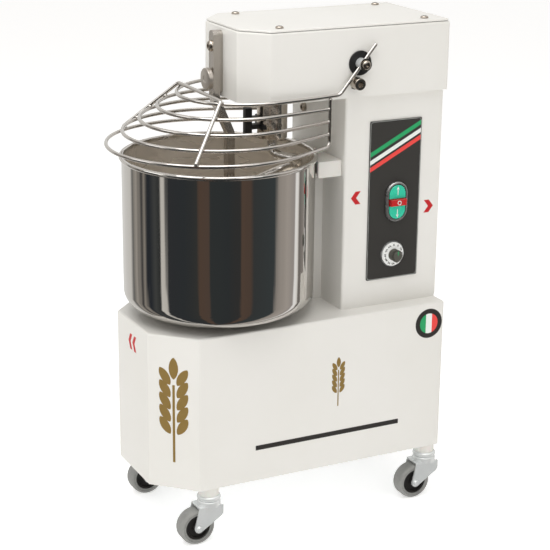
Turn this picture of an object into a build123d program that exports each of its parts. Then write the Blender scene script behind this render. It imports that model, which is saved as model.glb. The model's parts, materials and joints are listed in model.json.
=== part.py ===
from build123d import *
import os
from math import acos, atan2, cos, degrees, hypot, pi, radians, sin

# Small free-standing spiral dough mixer with a fixed head and a removable-looking, driven bowl.
# Millimetres, +Z up, +X towards the side with the controls, and the front of the machine faces -Y.
# Places are first measured from the front face of the base (y = 0) and from the floor (z = 0).
# The last step moves the origin to the floor under the middle of the whole machine.

# ---- driving dimensions -------------------------------------------------------------------------
SHEET = 2.0                     # wall of the painted sheet-steel housings
BASE_HALF_WIDTH = 105.0
BASE_LENGTH = 430.0
BASE_BOTTOM = 81.0
BASE_TOP = 298.0
BASE_CHAMFER = 52.0

COLUMN_HALF_WIDTH = 78.0
COLUMN_FRONT = 278.0
COLUMN_REAR = 429.0
HEAD_BOTTOM = 595.0

HEAD_HALF_WIDTH = 84.0
HEAD_FRONT = 131.3
HEAD_REAR = 433.0
HEAD_CHAMFER_X = 35.0
HEAD_CHAMFER_Y = 32.0
CASING_TOP = 687.6
GASKET = 0.8
COVER = 2.6

BOWL_Y = 128.4                  # axis of the bowl
BOWL_RADIUS = 130.0
BOWL_WALL = 1.5
BOWL_BOTTOM = 308.0
RIM_Z = 515.0                   # centre line of the rolled bead
BEAD = 3.0

SPIRAL_Y = 208.0                # axis of the spiral tool
SPIRAL_ROD = 6.5
SPIRAL_TURN_RADIUS = 36.0
SLEEVE_RADIUS = 20.5
SLEEVE_BOTTOM = 532.0

DRIVE_Y = 303.0                 # vertical countershaft
MOTOR_Y = 375.0
CHAIN_PITCH = 8.0
BOWL_TEETH = 60
PINION_TEETH = 12
HEAD_DRIVER_TEETH = 24
SPIRAL_TEETH = 15
BASE_CHAIN_Z = 240.0
HEAD_CHAIN_Z = 655.0
BELT_Z = 205.0
PULLEY_RADIUS = 45.0
MOTOR_PULLEY_RADIUS = 18.0

WIRE = 2.5                      # radius of the guard's wire
GUARD_HALF_SPAN = 91.0          # the side arms pass outside the head
GUARD_BACK = 247.0              # uprights at the open back of the guard
RING_RADII = (92.0, 100.5, 116.0, 128.0, 140.5)
RING_FRONTS = (76.0, 48.5, 24.0, 0.5, -22.0)
TOP_RING_Z = (597.5, 601.0)     # height at the front and at the back
LOW_RING_Z = (533.8, 534.5)
PIVOT_Y = 293.9
PIVOT_Z = 641.0
ARM_BEND = (261.5, 602.4)
ARM_END = (313.0, 665.1)

CASTER_X = 89.4
CASTER_Y = (72.0, 414.5)
CASTER_TRAIL = 20.3
WHEEL_RADIUS = 25.0
WHEEL_WIDTH = 21.0
SOCKET_RADIUS = 13.75
CASTER_HEIGHT = 68.0

PANEL_Y = (315.5, 396.0)
PANEL_Z = (335.3, 559.0)
PANEL_THICK = 1.5
SWITCH_AT = (358.3, 444.8)
STATION = (33.0, 55.6)          # oblong rim, then its barrel and the button inside it
BARREL = (30.0, 52.6)
BUTTONS = (25.0, 47.6)
STOP_BAR = (12.3, 4.6)          # half width and half height
TIMER_AT = (355.4, 370.0)
BUTTON_TRAVEL = 3.0

GLAND_AT = (-60.0, 130.0)
GLAND_REACH = 24.0
CORD_RADIUS = 4.0

GAP = 0.4                       # between pieces that move past each other
RUNNING = 0.05                  # radial clearance of a shaft in its bearing

RINGS = len(RING_RADII)
GUARD_FRONT = RING_FRONTS[-1] - WIRE
MIDDLE_Y = (GUARD_FRONT + BASE_LENGTH + GLAND_REACH) / 2

PANEL_FACE = COLUMN_HALF_WIDTH + PANEL_THICK
HEAD_TOP = CASING_TOP + GASKET + COVER


# ---- helpers ------------------------------------------------------------------------------------
def block(x, y, z):
    """Box between two limits along each axis."""
    size = [high - low for low, high in (x, y, z)]
    middle = [(high + low) / 2 for low, high in (x, y, z)]
    return Pos(*middle) * Box(*size)


def post(radius, x, y, z):
    """Upright cylinder between two heights."""
    return Pos(x, y, (z[0] + z[1]) / 2) * Cylinder(radius, z[1] - z[0])


def along_x(radius, x, y, z):
    """Cylinder lying along X."""
    return Pos((x[0] + x[1]) / 2, y, z) * Rot(0, 90, 0) * Cylinder(radius, x[1] - x[0])


def along_y(radius, x, y, z):
    """Cylinder lying along Y."""
    return Pos(x, (y[0] + y[1]) / 2, z) * Rot(90, 0, 0) * Cylinder(radius, y[1] - y[0])


def plan(points, z):
    """Prism from an outline in plan, between two heights."""
    face = make_face(Polyline(*points, close=True))
    return Pos(0, 0, z[0]) * extrude(face, z[1] - z[0])


def obround_x(width, height, x, y, z):
    """Upright obround lying along X."""
    face = Plane.YZ * Rot(0, 0, 90) * SlotOverall(height, width)
    return Pos(x[0], y, z) * extrude(face, x[1] - x[0], dir=(1, 0, 0))


def chamfered_plan(half, y, cut_x, cut_y):
    """Outline in plan with both front corners cut off."""
    front, rear = y
    return [
        (-half, rear),
        (-half, front + cut_y),
        (-half + cut_x, front),
        (half - cut_x, front),
        (half, front + cut_y),
        (half, rear),
    ]


def tube(path, radius):
    """Round wire or bar along a path."""
    start = Plane(path @ 0, z_dir=path % 0)
    return sweep(start * Circle(radius), path=path)


def both_sides(solid):
    return [solid, mirror(solid, about=Plane.YZ)]


def save(name, *solids):
    """Move to the final origin and write one STEP file."""
    pieces = [Pos(0, -MIDDLE_Y, 0) * solid for solid in solids]
    shape = pieces[0] if len(pieces) == 1 else Compound(children=pieces)
    export_step(shape, f"parts/{name}.step")


def button_screw(radius, head, shank_radius, shank):
    """Dome-headed screw on the origin: head above z = 0, shank below, hexagon socket in the dome."""
    dome = Cylinder(radius, head, align=(Align.CENTER, Align.CENTER, Align.MIN))
    dome = fillet(dome.edges().group_by(Axis.Z)[-1], head * 0.8)
    socket = extrude(RegularPolygon(radius * 0.42, 6), head)
    shank_rod = Pos(0, 0, -shank / 2) * Cylinder(shank_radius, shank)
    return dome + shank_rod - Pos(0, 0, head * 0.35) * socket


# ---- base ---------------------------------------------------------------------------------------
def base_housing():
    outer = plan(
        chamfered_plan(BASE_HALF_WIDTH, (0, BASE_LENGTH), BASE_CHAMFER, BASE_CHAMFER),
        (BASE_BOTTOM, BASE_TOP),
    )
    rear_corners = outer.edges().filter_by(Axis.Z).group_by(Axis.Y)[-1]
    outer = fillet(rear_corners, 6)
    outer = fillet(outer.edges().group_by(Axis.Z)[-1], 3)
    inset = SHEET * 0.586       # keeps the sheet's thickness across the 45 degree corners
    inner = plan(
        chamfered_plan(
            BASE_HALF_WIDTH - SHEET,
            (SHEET, BASE_LENGTH - SHEET),
            BASE_CHAMFER - inset,
            BASE_CHAMFER - inset,
        ),
        (BASE_BOTTOM - 1, BASE_TOP - SHEET),
    )
    shell = outer - inner
    shell -= post(13.4, 0, BOWL_Y, (BASE_TOP - 5, BASE_TOP + 5))
    shell -= post(14, 0, DRIVE_Y, (BASE_TOP - 5, BASE_TOP + 5))
    shell -= along_y(8.1, GLAND_AT[0], (BASE_LENGTH - 5, BASE_LENGTH + 5), GLAND_AT[1])
    return shell


def base_plate():
    inset = SHEET * 0.586
    plate = plan(
        chamfered_plan(
            BASE_HALF_WIDTH - SHEET,
            (SHEET, BASE_LENGTH - SHEET),
            BASE_CHAMFER - inset,
            BASE_CHAMFER - inset,
        ),
        (BASE_BOTTOM, BASE_BOTTOM + 3),
    )
    for x, y in caster_places():
        plate -= post(5.05, x, y, (BASE_BOTTOM - 1, BASE_BOTTOM + 4))
    return plate


def caster_places():
    return [(x, y) for y in CASTER_Y for x in (-CASTER_X, CASTER_X)]


def caster_socket(x, y):
    boss = post(SOCKET_RADIUS, x, y, (CASTER_HEIGHT, BASE_BOTTOM))
    return boss - post(5.05, x, y, (CASTER_HEIGHT - 1, BASE_BOTTOM + 1))


# ---- casters ------------------------------------------------------------------------------------
def caster_stem(x, y):
    """Upper bearing race with its threaded stem and the nut above the base plate."""
    race = post(16.5, x, y, (61.6, CASTER_HEIGHT))
    race = fillet(race.edges().group_by(Axis.Z)[0] + race.edges().group_by(Axis.Z)[-1], 3.1)
    stem = post(5, x, y, (CASTER_HEIGHT - 1, BASE_BOTTOM + 14))
    nut = Pos(x, y, BASE_BOTTOM + 3) * extrude(RegularPolygon(9, 6), 7)
    return race + stem + nut


def fork_cheek():
    """Outline of a cheek in the YZ plane, measured from the swivel axis: wide top, round foot."""
    foot = Pos(-CASTER_TRAIL, WHEEL_RADIUS) * Circle(6.2)
    shoulder = Pos(6.5, 45.5) * Circle(9)
    top = Line((-CASTER_TRAIL + 1, 54.7), (15.5, 54.7))
    return make_hull(foot.edges() + shoulder.edges() + top.edges())


def caster_fork(x, y):
    """Pressed fork with its lower race, and the axle riveted through both cheeks."""
    axle_y = y - CASTER_TRAIL
    thick = 2.5
    cheek_inside = WHEEL_WIDTH / 2 + 1.2
    cheek_outside = cheek_inside + thick
    race = post(16.2, x, y, (54.7, 61.3))
    race = fillet(race.edges().group_by(Axis.Z)[-1], 3.0)
    hood_z = (52.2, 54.7)
    hood = block((x - cheek_outside, x + cheek_outside), (axle_y + 1, y), hood_z)
    hood += post(16.2, x, y, hood_z)
    cheek = extrude(Plane.YZ * fork_cheek(), thick, dir=(1, 0, 0))
    fork = race + hood
    for low in (x + cheek_inside, x - cheek_outside):
        fork += Pos(low, y, 0) * cheek
    fork -= along_x(3.05, (x - 20, x + 20), axle_y, WHEEL_RADIUS)
    axle = along_x(3, (x - cheek_outside, x + cheek_outside), axle_y, WHEEL_RADIUS)
    rivet_head = along_x(4.2, (x + cheek_outside, x + cheek_outside + 1.4), axle_y, WHEEL_RADIUS)
    rivet_tail = along_x(4.2, (x - cheek_outside - 1.4, x - cheek_outside), axle_y, WHEEL_RADIUS)
    return [fork, axle + rivet_head + rivet_tail]


def caster_wheel(x, y):
    """Moulded hub with the grey tyre around it."""
    axle_y = y - CASTER_TRAIL
    half = WHEEL_WIDTH / 2
    hub = along_x(17.5, (x - half + 1.5, x + half - 1.5), axle_y, WHEEL_RADIUS)
    boss = along_x(7, (x - half - 0.8, x + half + 0.8), axle_y, WHEEL_RADIUS)
    dish = along_x(14.5, (x + half - 4.5, x + half), axle_y, WHEEL_RADIUS)
    far_dish = along_x(14.5, (x - half, x - half + 4.5), axle_y, WHEEL_RADIUS)
    hub = hub - dish - far_dish + boss
    hub -= along_x(3 + RUNNING, (x - 20, x + 20), axle_y, WHEEL_RADIUS)
    tyre = along_x(WHEEL_RADIUS, (x - half, x + half), axle_y, WHEEL_RADIUS)
    rims = tyre.edges().filter_by(GeomType.CIRCLE)
    tyre = fillet(rims, 4.0)
    tyre -= along_x(17.5, (x - 20, x + 20), axle_y, WHEEL_RADIUS)
    return [hub, tyre]


# ---- column -------------------------------------------------------------------------------------
def column_housing():
    half = COLUMN_HALF_WIDTH
    height = (BASE_TOP, HEAD_BOTTOM)
    outer = block((-half, half), (COLUMN_FRONT, COLUMN_REAR - 1.5), height)
    outer = fillet(outer.edges().filter_by(Axis.Z).group_by(Axis.Y)[0], 3.5)
    inner_y = (COLUMN_FRONT + SHEET, COLUMN_REAR - 3.5)
    shell = outer - block((-half + SHEET, half - SHEET), inner_y, (BASE_TOP - 1, HEAD_BOTTOM + 1))
    opening_y = (COLUMN_REAR - 5, COLUMN_REAR)
    shell -= block((-half + 14, half - 14), opening_y, (BASE_TOP + 14, HEAD_BOTTOM - 14))
    y, z = SWITCH_AT
    shell -= obround_x(BARREL[0] + 0.4, BARREL[1] + 0.4, (half - 5, half + 5), y, z)
    shell -= along_x(6, (half - 5, half + 5), *TIMER_AT)
    shell -= along_y(4.1, COLUMN_BOLT_X, (COLUMN_FRONT - 1, COLUMN_FRONT + 5), COLUMN_BOLT_Z)
    for x, z in rear_screw_places():
        shell -= along_y(2.05, x, (COLUMN_REAR - 8, COLUMN_REAR + 1), z)
    return shell


COLUMN_BOLT_X = -40.6
COLUMN_BOLT_Z = 560.0


def rear_screw_places():
    edge = COLUMN_HALF_WIDTH - 7
    return [(x, z) for x in (-edge, edge) for z in (BASE_TOP + 22, 446.0, HEAD_BOTTOM - 22)]


def rear_cover():
    half = COLUMN_HALF_WIDTH - 0.5
    cover = block((-half, half), (COLUMN_REAR - 1.5, COLUMN_REAR), (BASE_TOP + 1, HEAD_BOTTOM - 1))
    cover = fillet(cover.edges().filter_by(Axis.Y), 4)
    for x, z in rear_screw_places():
        cover -= along_y(2.05, x, (COLUMN_REAR - 8, COLUMN_REAR + 1), z)
    louvre = block((-26, 26), (COLUMN_REAR - 3, COLUMN_REAR + 1), (0, 4))
    for row in range(6):
        cover -= Pos(0, 0, 360 + 10 * row) * louvre
    return cover


def rear_screws():
    screw = Rot(-90, 0, 0) * button_screw(4, 2.4, 2, 6)
    return [Pos(x, COLUMN_REAR, z) * screw for x, z in rear_screw_places()]


def column_spine():
    """Narrow cover in front of the column that carries the cable up behind the bowl."""
    spine = block((-18, 18), (265.0, COLUMN_FRONT), (BASE_TOP, GUIDE_Z[0]))
    spine = fillet(spine.edges().filter_by(Axis.Z).group_by(Axis.Y)[0], 2.5)
    return spine - block((-16, 16), (267.0, COLUMN_FRONT + 1), (BASE_TOP - 1, GUIDE_Z[0] - 2))


GUIDE_Z = (487.0, 509.0)


def guide_block():
    """Nylon block, hollowed to the bowl's radius, that steadies the bowl near its rim."""
    guide = block((-71, 71), (242.0, COLUMN_FRONT), GUIDE_Z)
    guide = fillet(guide.edges().filter_by(Axis.Z), 2)
    guide = fillet(guide.edges().group_by(Axis.Z)[-1], 1)
    return guide - post(BOWL_RADIUS + 2.2, 0, BOWL_Y, (GUIDE_Z[0] - 1, GUIDE_Z[1] + 1))


# ---- head ---------------------------------------------------------------------------------------
def head_plan(inset):
    corner = inset * 0.6
    return chamfered_plan(
        HEAD_HALF_WIDTH - inset,
        (HEAD_FRONT + inset, HEAD_REAR - inset),
        HEAD_CHAMFER_X - corner,
        HEAD_CHAMFER_Y - corner,
    )


def lid_screw_places():
    return [(x, y) for x in (-66.0, 66.0) for y in (184.0, 402.0)]


def head_casing():
    outer = plan(head_plan(0), (HEAD_BOTTOM, CASING_TOP))
    outer = fillet(outer.edges().filter_by(Axis.Z), 4)
    outer = fillet(outer.edges().group_by(Axis.Z)[-1], 2.5)
    shell = outer - plan(head_plan(SHEET), (HEAD_BOTTOM + SHEET, CASING_TOP - SHEET))
    shell -= plan(head_plan(16), (CASING_TOP - 10, CASING_TOP + 5))
    floor = (HEAD_BOTTOM - 1, HEAD_BOTTOM + 5)
    shell -= post(16, 0, SPIRAL_Y, floor)
    shell -= post(14, 0, DRIVE_Y, floor)
    for x, y in lid_screw_places():
        shell -= post(2.55, x, y, (CASING_TOP - 5, CASING_TOP + 1))
    for low in (-HEAD_HALF_WIDTH - 1, HEAD_HALF_WIDTH - 5):
        shell -= along_x(10.1, (low, low + 6), PIVOT_Y, PIVOT_Z)
        shell -= along_x(4.1, (low, low + 6), *stop_bolt_place())
    for z in (BREAKER_SCREW_Z, KNOB_Z):
        shell -= along_y(4.1, 0, (HEAD_FRONT - 1, HEAD_FRONT + 5), z)
    return shell


def head_cover():
    z = (CASING_TOP + GASKET, HEAD_TOP)
    cover = plan(head_plan(1.2), z)
    cover = fillet(cover.edges().filter_by(Axis.Z), 5)
    cover = fillet(cover.edges().group_by(Axis.Z)[-1], 1.2)
    for x, y in lid_screw_places():
        cover -= post(2.55, x, y, (z[0] - 1, z[1] + 1))
    return cover


def head_gasket():
    z = (CASING_TOP, CASING_TOP + GASKET)
    ring = plan(head_plan(3.5), z) - plan(head_plan(14), (z[0] - 1, z[1] + 1))
    for x, y in lid_screw_places():
        ring -= post(2.55, x, y, (z[0] - 1, z[1] + 1))
    return ring


def cover_screws():
    """Raised pan-head screws with a cross recess."""
    head = Cylinder(5.5, 3, align=(Align.CENTER, Align.CENTER, Align.MIN))
    head = fillet(head.edges().group_by(Axis.Z)[-1], 2.4)
    cross = Pos(0, 0, 2.6) * (Box(6.4, 1.2, 2.4) + Box(1.2, 6.4, 2.4))
    shank = Pos(0, 0, -7) * Cylinder(2.5, 14)
    screw = head - cross + shank
    return [Pos(x, y, HEAD_TOP) * screw for x, y in lid_screw_places()]


# ---- control panel ------------------------------------------------------------------------------
def control_panel():
    x = (COLUMN_HALF_WIDTH, PANEL_FACE)
    plate = fillet(block(x, PANEL_Y, PANEL_Z).edges().filter_by(Axis.X), 2)
    y, z = SWITCH_AT
    plate -= obround_x(BARREL[0] + 0.4, BARREL[1] + 0.4, (x[0] - 1, x[1] + 1), y, z)
    return plate - along_x(6, (x[0] - 1, x[1] + 1), *TIMER_AT)


def switch_bezel():
    """Oblong push-button station: raised rim outside the panel, barrel through the column's wall."""
    y, z = SWITCH_AT
    rim = obround_x(*STATION, (PANEL_FACE, PANEL_FACE + 5), y, z)
    rim = fillet(rim.edges().group_by(Axis.X)[-1], 2.0)
    barrel = obround_x(*BARREL, (56, PANEL_FACE), y, z)
    inside = (BUTTONS[0] + 0.8, BUTTONS[1] + 0.8)
    return rim + barrel - obround_x(*inside, (60, PANEL_FACE + 6), y, z)


def push_button(upper):
    """Half of the oblong: the button above or below the stop bar."""
    y, z = SWITCH_AT
    cap = obround_x(*BUTTONS, (66, PANEL_FACE + 6), y, z)
    cap = fillet(cap.edges().group_by(Axis.X)[-1], 1.2)
    edge = STOP_BAR[1] + 0.6
    keep = (z + edge, z + 30) if upper else (z - 30, z - edge)
    return cap & block((60, 95), (y - 20, y + 20), keep)


def stop_button():
    y, z = SWITCH_AT
    wide, tall = STOP_BAR
    bar = block((66, PANEL_FACE + 11), (y - wide, y + wide), (z - tall, z + tall))
    return fillet(bar.edges().group_by(Axis.X)[-1], 1.5)


def timer_scale():
    x = (PANEL_FACE, PANEL_FACE + 1.2)
    return along_x(18.5, x, *TIMER_AT) - along_x(3.3, (x[0] - 1, x[1] + 1), *TIMER_AT)


def timer_knob():
    """Skirted knob with a raised grip bar and a pointer, on its spindle."""
    y, z = TIMER_AT
    front = PANEL_FACE + 1.2 + GAP
    skirt = along_x(17, (front, front + 4), y, z)
    skirt = fillet(skirt.edges().group_by(Axis.X)[-1], 1.2)
    grip = along_x(9.5, (front + 3, front + 16), y, z)
    grip = fillet(grip.edges().group_by(Axis.X)[-1], 1.5)
    for step in range(12):
        angle = 2 * pi * step / 12
        groove_y = y + 10.4 * cos(angle)
        groove_z = z + 10.4 * sin(angle)
        grip -= along_x(1.6, (front + 4.5, front + 20), groove_y, groove_z)
    spindle = along_x(3, (62, front + 1), y, z)
    return skirt + grip + spindle


def timer_body():
    y, z = TIMER_AT
    body = block((50, COLUMN_HALF_WIDTH - SHEET), (y - 20, y + 20), (z - 20, z + 20))
    return body - along_x(3 + RUNNING, (60, COLUMN_HALF_WIDTH), y, z)


# ---- drive --------------------------------------------------------------------------------------
def pitch_radius(teeth):
    return CHAIN_PITCH / (2 * sin(pi / teeth))


def sprocket(teeth, y, z, bore, hub):
    """Toothed disc with a hub."""
    root = pitch_radius(teeth) - 2.4
    tip = pitch_radius(teeth) + 2.2
    outline = []
    for tooth in range(teeth):
        for share, radius in ((-0.32, root), (-0.12, tip), (0.12, tip), (0.32, root)):
            angle = 2 * pi * (tooth + share) / teeth
            outline.append((radius * cos(angle), radius * sin(angle)))
    disc = Pos(0, y, 0) * plan(outline, (z - 1.4, z + 1.4))
    return disc + post(hub, 0, y, (z - 9, z + 9)) - post(bore, 0, y, (z - 20, z + 20))


def loop_plan(front, rear, grow):
    """Outline of a belt round two wheels, given as (radius, y), made bigger by grow."""
    small, small_y = front[0] + grow, front[1]
    large, large_y = rear[0] + grow, rear[1]
    lean = (small - large) / (large_y - small_y)
    side = (1 - lean * lean) ** 0.5
    corners = [
        (-small * side, small_y + small * lean),
        (small * side, small_y + small * lean),
        (large * side, large_y + large * lean),
        (-large * side, large_y + large * lean),
    ]
    face = make_face(Polyline(*corners, close=True))
    return face + Pos(0, small_y) * Circle(small) + Pos(0, large_y) * Circle(large)


def loop_band(front, rear, inside, outside, z):
    ring = loop_plan(front, rear, outside) - loop_plan(front, rear, inside)
    return Pos(0, 0, z[0]) * extrude(ring, z[1] - z[0])


def chain(front_teeth, front_y, rear_teeth, rear_y, z):
    """Roller chain as one closed channel: a back outside the teeth and a link row on each side."""
    front = (pitch_radius(front_teeth), front_y)
    rear = (pitch_radius(rear_teeth), rear_y)
    band = loop_band(front, rear, -3.2, 4.2, (z - 3.8, z + 3.8))
    return band - loop_band(front, rear, -3.3, 2.8, (z - 2.0, z + 2.0))


def drive_belt():
    front = (PULLEY_RADIUS, DRIVE_Y)
    rear = (MOTOR_PULLEY_RADIUS, MOTOR_Y)
    return loop_band(front, rear, GAP, 4.0, (BELT_Z - 5, BELT_Z + 5))


def pulley(radius, y, bore):
    wheel = post(radius + 3, 0, y, (BELT_Z - 7.5, BELT_Z + 7.5))
    groove = post(radius + 4, 0, y, (BELT_Z - 5.4, BELT_Z + 5.4)) - post(radius, 0, y, (0, 400))
    return wheel - groove - post(bore, 0, y, (0, 400))


def countershaft():
    return post(10, 0, DRIVE_Y, (188, 672))


def countershaft_wheels():
    lower = sprocket(PINION_TEETH, DRIVE_Y, BASE_CHAIN_Z, 10, 11.8)
    upper = sprocket(HEAD_DRIVER_TEETH, DRIVE_Y, HEAD_CHAIN_Z, 10, 16)
    return [pulley(PULLEY_RADIUS, DRIVE_Y, 10), lower, upper]


def flange_bearing(y, z, bore, radius, up):
    """Bearing housing with a round flange; up says on which side of the flange the body stands."""
    flange = (z, z + 6) if up else (z - 6, z)
    body = (z, z + 26) if up else (z - 26, z)
    housing = post(radius, 0, y, body) + post(radius + 9, 0, y, flange)
    return housing - post(bore + RUNNING, 0, y, (z - 50, z + 50))


def gear_motor():
    motor = post(40, 0, MOTOR_Y, (BASE_BOTTOM + 12, 165))
    gearbox = post(44, 0, MOTOR_Y, (164, 186))
    terminal = block((34, 62), (MOTOR_Y - 20, MOTOR_Y + 20), (100, 150))
    motor = motor + gearbox + terminal
    return motor - post(8 + RUNNING, 0, MOTOR_Y, (170, 200))


def motor_mount():
    """Feet and ring that stand the gear motor on the base plate."""
    z = (BASE_BOTTOM + 3, BASE_BOTTOM + 12)
    mount = block((-55, 55), (MOTOR_Y - 45, MOTOR_Y + 45), z)
    mount = fillet(mount.edges().filter_by(Axis.Z), 8)
    return mount - post(25, 0, MOTOR_Y, (z[0] - 1, z[1] + 1))


def motor_pulley():
    shaft = post(8, 0, MOTOR_Y, (172, BELT_Z + 10))
    return shaft + pulley(MOTOR_PULLEY_RADIUS, MOTOR_Y, 7.9)


# ---- bowl ---------------------------------------------------------------------------------------
def bowl():
    """Spun stainless bowl with a rounded bottom corner and a rolled bead at the rim."""
    corner = 24.0
    inside = BOWL_RADIUS - BOWL_WALL
    height = RIM_Z - BOWL_BOTTOM
    outer = post(BOWL_RADIUS, 0, BOWL_Y, (BOWL_BOTTOM, RIM_Z))
    outer = fillet(outer.edges().group_by(Axis.Z)[0], corner)
    inner = post(inside, 0, BOWL_Y, (BOWL_BOTTOM + BOWL_WALL, BOWL_BOTTOM + height + 5))
    inner = fillet(inner.edges().group_by(Axis.Z)[0], corner - BOWL_WALL)
    bead_radius = BOWL_RADIUS + 0.6
    bead = Pos(0, BOWL_Y, RIM_Z) * Torus(bead_radius, BEAD)
    return outer - inner + bead


def bowl_shaft():
    """Hub plate welded under the bowl, and the shaft that runs down into the base."""
    hub = post(40, 0, BOWL_Y, (302.2, BOWL_BOTTOM))
    return hub + post(12.5, 0, BOWL_Y, (222, 303))


def bowl_seal():
    ring = post(24, 0, BOWL_Y, (BASE_TOP, BASE_TOP + 3.4))
    lip = fillet(ring.edges().group_by(Axis.Z)[-1], 1.2)
    return lip - post(12.9, 0, BOWL_Y, (BASE_TOP - 1, BASE_TOP + 5))


# ---- spiral tool --------------------------------------------------------------------------------
def spiral_tool():
    """Round bar that leaves the shaft, swings out and winds down towards the bowl's bottom."""
    step_angle = radians(45)
    steps = 15
    drop = 12.4
    corner_radius = SPIRAL_TURN_RADIUS / cos(step_angle / 2) - 1
    points = [(0, SPIRAL_Y, 540), (0, SPIRAL_Y, 518), (18, SPIRAL_Y - 1.6, 511)]
    for step in range(steps):
        angle = radians(40) + step_angle * step
        x = corner_radius * cos(angle)
        y = SPIRAL_Y + corner_radius * sin(angle)
        points.append((x, y, 504 - drop * step))
    bends = [10, 13, 15] + [24] * (steps - 2)
    return tube(FilletPolyline(*points, radius=bends), SPIRAL_ROD)


def spiral_shaft():
    hub = post(15, 0, SPIRAL_Y, (SLEEVE_BOTTOM + 2, 575))
    hub -= post(SPIRAL_ROD + RUNNING, 0, SPIRAL_Y, (SLEEVE_BOTTOM, 541))
    return hub + post(10, 0, SPIRAL_Y, (574, 672))


def spiral_sleeve():
    """Fixed stainless sleeve under the head, with the flange that bolts it to the casing."""
    sleeve = post(SLEEVE_RADIUS, 0, SPIRAL_Y, (SLEEVE_BOTTOM, HEAD_BOTTOM))
    sleeve = fillet(sleeve.edges().group_by(Axis.Z)[0], 1)
    sleeve -= post(16, 0, SPIRAL_Y, (SLEEVE_BOTTOM - 1, HEAD_BOTTOM + 1))
    return sleeve - along_x(4.1, (0, 30), SPIRAL_Y, SLEEVE_SCREW_Z)


SLEEVE_SCREW_Z = 552.0


def deflector_bracket():
    """Black plastic comb clipped to the fixed sleeve, on the breaker bar's side."""
    upright = block((-5, 5), (166, 176), (539.5, 575.5))
    upright = fillet(upright.edges().filter_by(Axis.Z), 1.5)
    bracket = upright
    for z in ((558.0, 563.0), (546.5, 552.5)):
        bracket += block((-6, 6), (175, 190), z)
        bracket += post(SLEEVE_RADIUS + 3, 0, SPIRAL_Y, z) & block((-14, 14), (180, 195), z)
    return bracket - post(SLEEVE_RADIUS, 0, SPIRAL_Y, (500, 600))


# ---- breaker bar --------------------------------------------------------------------------------
BREAKER_SCREW_Z = 662.5
KNOB_Z = 619.3
BAR_HALF_WIDTH = 7.0
BACKPLATE_FRONT = HEAD_FRONT - 3.8
BAR_FRONT = BACKPLATE_FRONT - 10.0


def strip_with_round_ends(y, z):
    """Flat bar standing on edge, with half-round ends."""
    body = block((-BAR_HALF_WIDTH, BAR_HALF_WIDTH), y, (z[0] + BAR_HALF_WIDTH, z[1] - BAR_HALF_WIDTH))
    for end in (z[0] + BAR_HALF_WIDTH, z[1] - BAR_HALF_WIDTH):
        body += along_y(BAR_HALF_WIDTH, 0, y, end)
    return body


def breaker_backplate():
    plate = strip_with_round_ends((BACKPLATE_FRONT, HEAD_FRONT), (599, 682.5))
    for z in (BREAKER_SCREW_Z, KNOB_Z):
        plate -= along_y(4.1, 0, (BACKPLATE_FRONT - 1, HEAD_FRONT + 1), z)
    return plate


def breaker_bar():
    """Bar clamped on the head's front that steps back under the head and hangs into the bowl."""
    top = 683.0 - BAR_HALF_WIDTH
    upper_y = BAR_FRONT + 5
    lower_y = 144.0
    centre = [(upper_y, top), (upper_y, 592), (lower_y, 545), (lower_y, 320)]
    path = FilletPolyline(*[(0, y, z) for y, z in centre], radius=14)
    section = Pos(0, upper_y, top) * Rectangle(2 * BAR_HALF_WIDTH, 10)
    bar = sweep(section, path=path)
    bar += along_y(BAR_HALF_WIDTH, 0, (BAR_FRONT, BACKPLATE_FRONT), top)
    bar = fillet(bar.edges().group_by(Axis.Z)[0].filter_by(Axis.X), 2)
    for z in (BREAKER_SCREW_Z, KNOB_Z):
        bar -= along_y(4.1, 0, (BAR_FRONT - 1, BACKPLATE_FRONT + 1), z)
    return bar


def clamp_knob():
    """Plain round knob on a threaded stud through the bar."""
    disc = along_y(14.6, 0, (BAR_FRONT - 9.4, BAR_FRONT - 2.4), KNOB_Z)
    disc = fillet(disc.edges().filter_by(GeomType.CIRCLE), 0.8)
    collar = along_y(9, 0, (BAR_FRONT - 2.6, BAR_FRONT - GAP), KNOB_Z)
    stud = along_y(4, 0, (BAR_FRONT - 1, HEAD_FRONT + 12), KNOB_Z)
    return disc + collar + stud


def button_screws():
    """The dome-headed machine screws: breaker bar, column front and sleeve."""
    m8 = button_screw(7.3, 4.6, 4, 18)
    on_bar = Pos(0, BAR_FRONT, BREAKER_SCREW_Z) * Rot(90, 0, 0) * m8
    screws = [on_bar]
    screws.append(Pos(COLUMN_BOLT_X, COLUMN_FRONT, COLUMN_BOLT_Z) * Rot(90, 0, 0) * m8)
    screws.append(along_x(4, (17, SLEEVE_RADIUS + 0.6), SPIRAL_Y, SLEEVE_SCREW_Z))
    return screws


# ---- bowl guard ---------------------------------------------------------------------------------
def ring_height(number, y):
    """Height of a ring's wire at a given y; each ring lies in a plane that rises to the back."""
    share = number / (RINGS - 1)
    front_z, back_z = [high + (low - high) * share for high, low in zip(TOP_RING_Z, LOW_RING_Z)]
    along = (y - RING_FRONTS[number]) / (GUARD_BACK - RING_FRONTS[number])
    return front_z + (back_z - front_z) * along


def ring_points(number, back):
    """Corner points of one ring: straight tail, arc round the front, straight tail."""
    radius, front = RING_RADII[number], RING_FRONTS[number]
    centre = front + radius
    reach_x = GUARD_HALF_SPAN
    reach_y = back - centre
    angle = atan2(reach_y, reach_x) - acos(min(1.0, radius / hypot(reach_x, reach_y)))

    def lift(x, y):
        return (x, y, ring_height(number, y))

    touch = (radius * cos(angle), centre + radius * sin(angle))
    return (
        lift(reach_x, back),
        lift(*touch),
        lift(0, front),
        lift(-touch[0], touch[1]),
        lift(-reach_x, back),
    )


def ring_edges(number, back):
    start, right, nose, left, end = ring_points(number, back)
    return [Line(start, right), ThreePointArc(right, nose, left), Line(left, end)]


def middle_ring(number):
    return tube(Wire(ring_edges(number, GUARD_BACK - WIRE - 0.1)), WIRE)


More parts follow.
